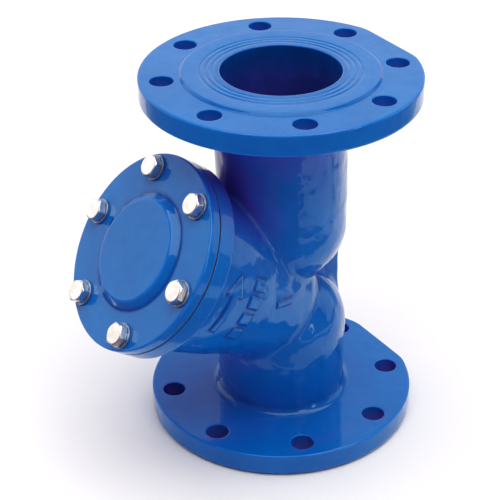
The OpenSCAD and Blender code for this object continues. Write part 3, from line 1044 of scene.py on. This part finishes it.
def zinc():
    """Bright zinc plate: crystalline mottle, a faint warm cast and dulled spots."""
    paint = Paint("bright_zinc", Metallic=1.0)
    crystals = paint.cells(900, feature="SMOOTH_F1")
    cloud = paint.noise(160, 4.0, 0.6, 0.4)
    colour = paint.mix(paint.spread(cloud, 0.35, 0.68), (0.93, 0.93, 0.92), (0.86, 0.83, 0.73))
    dulled = paint.spread(paint.noise(330, 3.0, 0.6), 0.55, 0.8, 0.0, 0.5)
    colour = paint.mix(dulled, colour, (0.72, 0.73, 0.74))
    # Painted highlight: lighter on edges.
    colour = paint.mix(paint.times(paint.tone("edge"), 0.6), colour, (0.97, 0.97, 0.96))
    rough = paint.spread(paint.plus(cloud, paint.times(crystals, 0.3)), 0.3, 0.85, 0.20, 0.38)
    grain = paint.plus(paint.times(crystals, 0.4), paint.noise(1500, 3.0))
    waves = paint.bump(paint.noise(260), 0.00008)
    return paint.finish(colour, rough, paint.bump(grain, 0.000025, waves))


def dull_zinc():
    """Zinc plate, dull, in darker blue-grey tones, lighter on its edges as a painted highlight."""
    paint = Paint("dull_zinc", Metallic=0.7)
    cloud = paint.noise(210, 4.0, 0.6, 0.6)
    colour = paint.mix(paint.spread(cloud, 0.35, 0.68), (0.30, 0.36, 0.46), (0.10, 0.19, 0.36))
    # Painted highlight: lighter on edges.
    colour = paint.mix(paint.times(paint.tone("edge"), 0.4), colour, (0.52, 0.57, 0.66))
    rough = paint.spread(cloud, 0.3, 0.7, 0.34, 0.52)
    return paint.finish(colour, rough, paint.bump(paint.noise(700, 3.0), 0.00003))


def stainless(name, scales, heat=False):
    """Brushed stainless: streaks along one axis of the branch frame. heat adds weld tint."""
    paint = Paint(name, Metallic=1.0, Anisotropic=0.5)
    along = paint.stretched((U, V, W), scales)
    streaks = paint.noise(1.0, 3.0, 0.65, place=along)
    cloud = paint.noise(60, 3.0)
    colour = paint.mix(paint.spread(streaks, 0.3, 0.7), (0.50, 0.50, 0.49), (0.66, 0.655, 0.64))
    colour = paint.mix(paint.spread(cloud, 0.45, 0.75, 0.0, 0.35), colour, (0.46, 0.445, 0.41))
    if heat:
        near_weld = paint.tone("hollow")
        tint = paint.mix(paint.spread(near_weld, 0.5, 1.0), (0.56, 0.42, 0.22), (0.24, 0.26, 0.42))
        colour = paint.mix(paint.spread(near_weld, 0.15, 0.9, 0.0, 0.75), colour, tint)
    else:
        # Painted highlight: lighter on edges.
        colour = paint.mix(paint.times(paint.tone("edge"), 0.6), colour, (0.78, 0.78, 0.77))
    rough = paint.spread(streaks, 0.3, 0.75, 0.24, 0.42)
    return paint.finish(colour, rough, paint.bump(streaks, 0.000012))


def woven_wire():
    """Plain weave of fine wire round the branch axis: over and under, with the gaps between painted near
    black as shade.
    """
    paint = Paint("woven_wire", Metallic=1.0)
    u, v, s = paint.branch_place(U, V, W)
    pitch = 1.0
    wires = round(math.tau * MESH_OUT / pitch / 2) * 2
    round_place = paint.times(paint.math("ARCTAN2", v, u), wires / 2)
    along_place = paint.times(s, math.pi * MM / pitch)
    warp, weft = paint.math("SINE", round_place), paint.math("SINE", along_place)
    under = paint.times(paint.math("COSINE", round_place), paint.math("COSINE", along_place))
    warp_wire, weft_wire = (paint.math("SUBTRACT", 1.0, paint.times(w, w)) for w in (warp, weft))
    warp_height = paint.plus(warp_wire, paint.times(under, 0.5))
    weft_height = paint.math("SUBTRACT", weft_wire, paint.times(under, 0.5))
    height = paint.math("MAXIMUM", warp_height, weft_height)
    dull = paint.noise(90, 3.0)
    metal = paint.mix(paint.spread(dull, 0.35, 0.7), (0.60, 0.60, 0.585), (0.45, 0.44, 0.42))
    # Painted shade: the gaps between the wires, where the solid sleeve has no holes, are near black.
    colour = paint.mix(paint.spread(height, 0.45, 0.95), (0.015, 0.015, 0.016), metal)
    return paint.finish(colour, paint.spread(dull, 0.3, 0.7, 0.3, 0.45), paint.bump(height, 0.00022))


def pale_floor():
    paint = Paint("pale_floor", Specular_IOR_Level=0.3)
    cloud = paint.noise(3.0, 4.0)
    colour = paint.mix(paint.spread(cloud, 0.3, 0.7), (0.88, 0.88, 0.88), (0.91, 0.91, 0.91))
    rough = paint.spread(cloud, 0.3, 0.7, 0.5, 0.6)
    return paint.finish(colour, rough, paint.bump(paint.noise(400, 2.0), 0.00003))


# ---------------------------------------------------------------- painted shade, from how far the castings hide each place
SHELTER_WAYS = 64             # directions that are tried from each place
SHELTER_CELL, SHELTER_GAP, SHELTER_REACH = 0.006, 0.0008, 0.3    # metres


def shade(objects):
    """Gives each vertex a painted shade tone of how far the castings themselves hide it from the room's
    light: 0 in the open and 1 deep inside, less where it faces up. The enamel paints this shade in as a
    darker violet colour."""
    points, normals, faces, spans = [], [], [], []
    for thing in objects:
        mesh = thing.data
        n, start = len(mesh.vertices), sum(len(q) for q in points)
        co, no = np.empty(n * 3), np.empty(n * 3)
        mesh.vertices.foreach_get("co", co)
        mesh.vertex_normals.foreach_get("vector", no)
        points.append(co.reshape(-1, 3))
        normals.append(no.reshape(-1, 3))
        faces += [[start + i for i in f.vertices] for f in mesh.polygons]
        spans.append((thing, start, n))
    points, normals = np.concatenate(points), np.concatenate(normals)
    tree = BVHTree.FromPolygons(points.tolist(), faces)
    k = np.arange(SHELTER_WAYS) + 0.5
    z = 1 - 2 * k / SHELTER_WAYS
    ways = PIPE.around(np.sqrt(1 - z * z), k * math.pi * (3 - math.sqrt(5)), z)
    sky = 0.2 + 0.8 * ramp(z, -0.5, 0.5)
    cell = np.concatenate([np.floor(points / SHELTER_CELL), np.round(normals * 1.2)], -1)
    chosen = np.unique(cell, axis=0, return_index=True)[1]
    closed = []
    for i in chosen:
        p, n = Vector(points[i]), Vector(normals[i])
        facing = ways @ normals[i]
        share = np.where(facing > 0.1, facing * sky, 0.0)
        start = p + n * SHELTER_GAP
        hidden = sum(share[j] for j in np.flatnonzero(share)
                     if tree.ray_cast(start, Vector(ways[j]), SHELTER_REACH)[0])
        closed.append(hidden / max(share.sum(), 1e-6) * (1 - 0.6 * max(n.z, 0.0)))
    near = KDTree(len(chosen))
    for j, i in enumerate(chosen):
        near.insert(points[i], j)
    near.balance()
    chosen_normals = normals[chosen]
    for thing, start, n in spans:
        tone = np.zeros(n)
        for i in range(n):
            found = near.find_n(points[start + i], 6)
            alike = chosen_normals[[j for _, j, _ in found]] @ normals[start + i]
            weights = np.maximum(alike, 0.02) ** 2 / (np.array([d for _, _, d in found]) + 0.0015)
            tone[i] = sum(w * closed[j] for w, (_, j, _) in zip(weights, found)) / sum(weights)
        thing.data.attributes.new("painted_shade", "FLOAT", "POINT").data.foreach_set("value", tone)


# ---------------------------------------------------------------- the pieces, in place of CAD nodes
blue, iron, fibre, plated, dull = enamel(), machined_iron(), gasket_fibre(), zinc(), dull_zinc()
sheet_steel = stainless("screen_steel", (160.0, 160.0, 2600.0))
seam_steel = stainless("seam_steel", (2600.0, 2600.0, 120.0), heat=True)
ring_steel = stainless("ring_steel", (220.0, 220.0, 3600.0))
wire = woven_wire()

pieces = [
    (build_body([blue, iron]), "housing", "body", "enamel"),
    (build_cover([blue, iron]), "cover", "cover", "enamel"),
    (build_gasket(fibre), "cover", "cover_gasket", "gasket"),
    (build_screen_tube(sheet_steel), "screen", "screen_tube", "screen"),
    (build_screen_seam(seam_steel), "screen", "screen_seam", "screen"),
    (build_sleeve(wire), "screen", "screen_mesh", "mesh"),
    (build_ring("seat_end_ring", SEAT_S, 1, ring_steel), "screen", "screen_seat_ring", "screen"),
    (build_ring("cover_end_ring", SCREEN_END, -1, ring_steel), "screen", "screen_end_ring", "screen"),
]
for k in BOLTS:
    pieces.append((build_washer(k, dull), f"washer_{k}", f"washer_{k}", "hardware"))
    pieces.append((build_bolt(k, plated), f"bolt_{k}", f"bolt_{k}", "hardware"))
# Painted shade tones for the body and cover castings
shade([pieces[0][0], pieces[1][0]])
for piece, body, node, slot in pieces:
    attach(piece, body)
    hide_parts(node)

# ---------------------------------------------------------------- stage, lights and camera
CAMERA_AZIMUTH, CAMERA_ELEVATION = math.radians(-33.29), math.radians(30.48)
CAMERA_DISTANCE = 1.2363
TARGET = Vector((0.0, 0.0, 0.15))


def direction(azimuth, elevation):
    """Unit vector from the target towards a place seen at that azimuth and elevation."""
    return Vector((math.sin(azimuth) * math.cos(elevation), -math.cos(azimuth) * math.cos(elevation),
                   math.sin(elevation)))


def camera_polar(azimuth, distance):
    """Place on the floor at an azimuth from the camera's own, in degrees."""
    return direction(CAMERA_AZIMUTH + math.radians(azimuth), 0.0) * distance


# Parts of the floor that show in reflections, as (azimuth from the camera's, distance) outlines
NEAR_SHEET = [(20, 0.16), (45, 0.25), (70, 0.27), (92, 0.36), (96, 0.56), (120, 0.62), (150, 0.9),
              (180, 1.1), (-150, 0.9), (-122, 0.62), (-116, 0.36), (-62, 0.34), (-40, 0.18),
              (-20, 0.15)]
SIDE_SHEET = [(28, 0.385), (34, 0.47), (44, 0.60), (91, 0.60), (91, 0.37), (60, 0.37)]


def build_stage():
    """A pale floor. Only two parts of it, beside and behind the object, show in reflections, as if
    dark cards stood in front, so that upright glossy surfaces keep their depth of colour."""
    material = pale_floor()
    wide = [tuple(camera_polar(turn, 4.2)[:2]) for turn in range(0, 360, 10)]
    sheets = [[tuple(camera_polar(*q)[:2]) for q in sheet] for sheet in (NEAR_SHEET, SIDE_SHEET)]
    for name, outline, level in (("studio_floor", wide, -0.0004), ("floor_near", sheets[0], -0.0003),
                                 ("floor_side", sheets[1], -0.0003)):
        mesh = bpy.data.meshes.new(name)
        flat = [[Vector((x, y, 0.0)) for x, y in outline]]
        mesh.from_pydata([(x, y, level) for x, y in outline], [], tessellate_polygon(flat))
        mesh.materials.append(material)
        floor = bpy.data.objects.new(name, mesh)
        bpy.context.scene.collection.objects.link(floor)
        floor.visible_glossy = outline is not wide


STUDIO = 2.6


def softbox(name, azimuth, elevation, distance, size, power, tint=(1.0, 1.0, 1.0)):
    """Area light at an azimuth from the camera's own, in degrees, facing the object. Its distance,
    size and power are for a small studio; the real one is larger, so that the floor is lit evenly."""
    light = bpy.data.lights.new(name, "AREA")
    light.shape = "RECTANGLE"
    light.size, light.size_y = (side * STUDIO for side in size)
    light.energy = power * STUDIO ** 2
    light.color = tint
    lamp = bpy.data.objects.new(name, light)
    away = direction(CAMERA_AZIMUTH + math.radians(azimuth), math.radians(elevation))
    lamp.location = TARGET + away * distance * STUDIO
    lamp.rotation_euler = away.to_track_quat("Z", "Y").to_euler()
    bpy.context.scene.collection.objects.link(lamp)
    lamp.visible_camera = False
    return lamp


ROOM_FRONT, ROOM_BACK = (0.17, 0.13, 0.19), (0.75, 0.75, 0.78)


def build_lights():
    """A dim room, brighter low down behind the object and white to the camera, with soft lights."""
    world = bpy.data.worlds.new("studio")
    room = Nodes(world)
    way = room.node("TexCoord").outputs["Generated"]
    behind = room.spread(room.dot(way, -direction(CAMERA_AZIMUTH, 0.0)), 0.35, 0.85)
    low = room.spread(room.dot(way, (0.0, 0.0, 1.0)), -0.08, 0.08, 1.0, 0.0, kind="LINEAR")
    glow = room.mix(room.times(behind, low), ROOM_FRONT, ROOM_BACK)
    seen = room.node("LightPath").outputs["Is Camera Ray"]
    background = room.tree.nodes["Background"].inputs["Color"]
    room.feed(background, room.mix(seen, glow, (1.0, 1.0, 1.0)))
    bpy.context.scene.world = world
    softbox("top_box", 10, 84, 2.2, (3.0, 3.0), 76, (1.0, 1.0, 0.95))
    softbox("back_wall", 180, 22, 2.2, (3.4, 1.8), 14)
    softbox("left_wall", -110, 16, 1.5, (1.3, 1.1), 5.0, (1.0, 0.98, 0.94))
    softbox("right_wall", 105, 18, 1.5, (1.0, 1.3), 4.0)
    softbox("window", 38, 34, 1.6, (0.34, 0.55), 2.0)
    softbox("strip", 56, 11, 1.6, (0.30, 0.70), 2.6).visible_diffuse = False


def build_camera():
    camera = bpy.data.cameras.new("camera")
    camera.sensor_width = 36.0
    camera.lens = 111.85
    camera.shift_x, camera.shift_y = -0.0621, -0.0156
    camera.dof.use_dof = False
    holder = bpy.data.objects.new("camera", camera)
    away = direction(CAMERA_AZIMUTH, CAMERA_ELEVATION)
    holder.location = TARGET + away * CAMERA_DISTANCE
    turned_to = away.to_track_quat("Z", "Y")
    holder.rotation_euler = turned_to.to_euler()
    bpy.context.scene.collection.objects.link(holder)
    bpy.context.scene.camera = holder


build_stage()
build_lights()
build_camera()

# A punchy photographic print: dark tones a little deeper, so that shaded enamel stays saturated
view = bpy.context.scene.view_settings
view.view_transform = "Standard"
view.use_curve_mapping = True
for x, y in ((0.03, 0.017), (0.095, 0.070), (0.2, 0.185), (0.34, 0.335)):
    view.curve_mapping.curves[3].points.new(x, y)
view.curve_mapping.update()
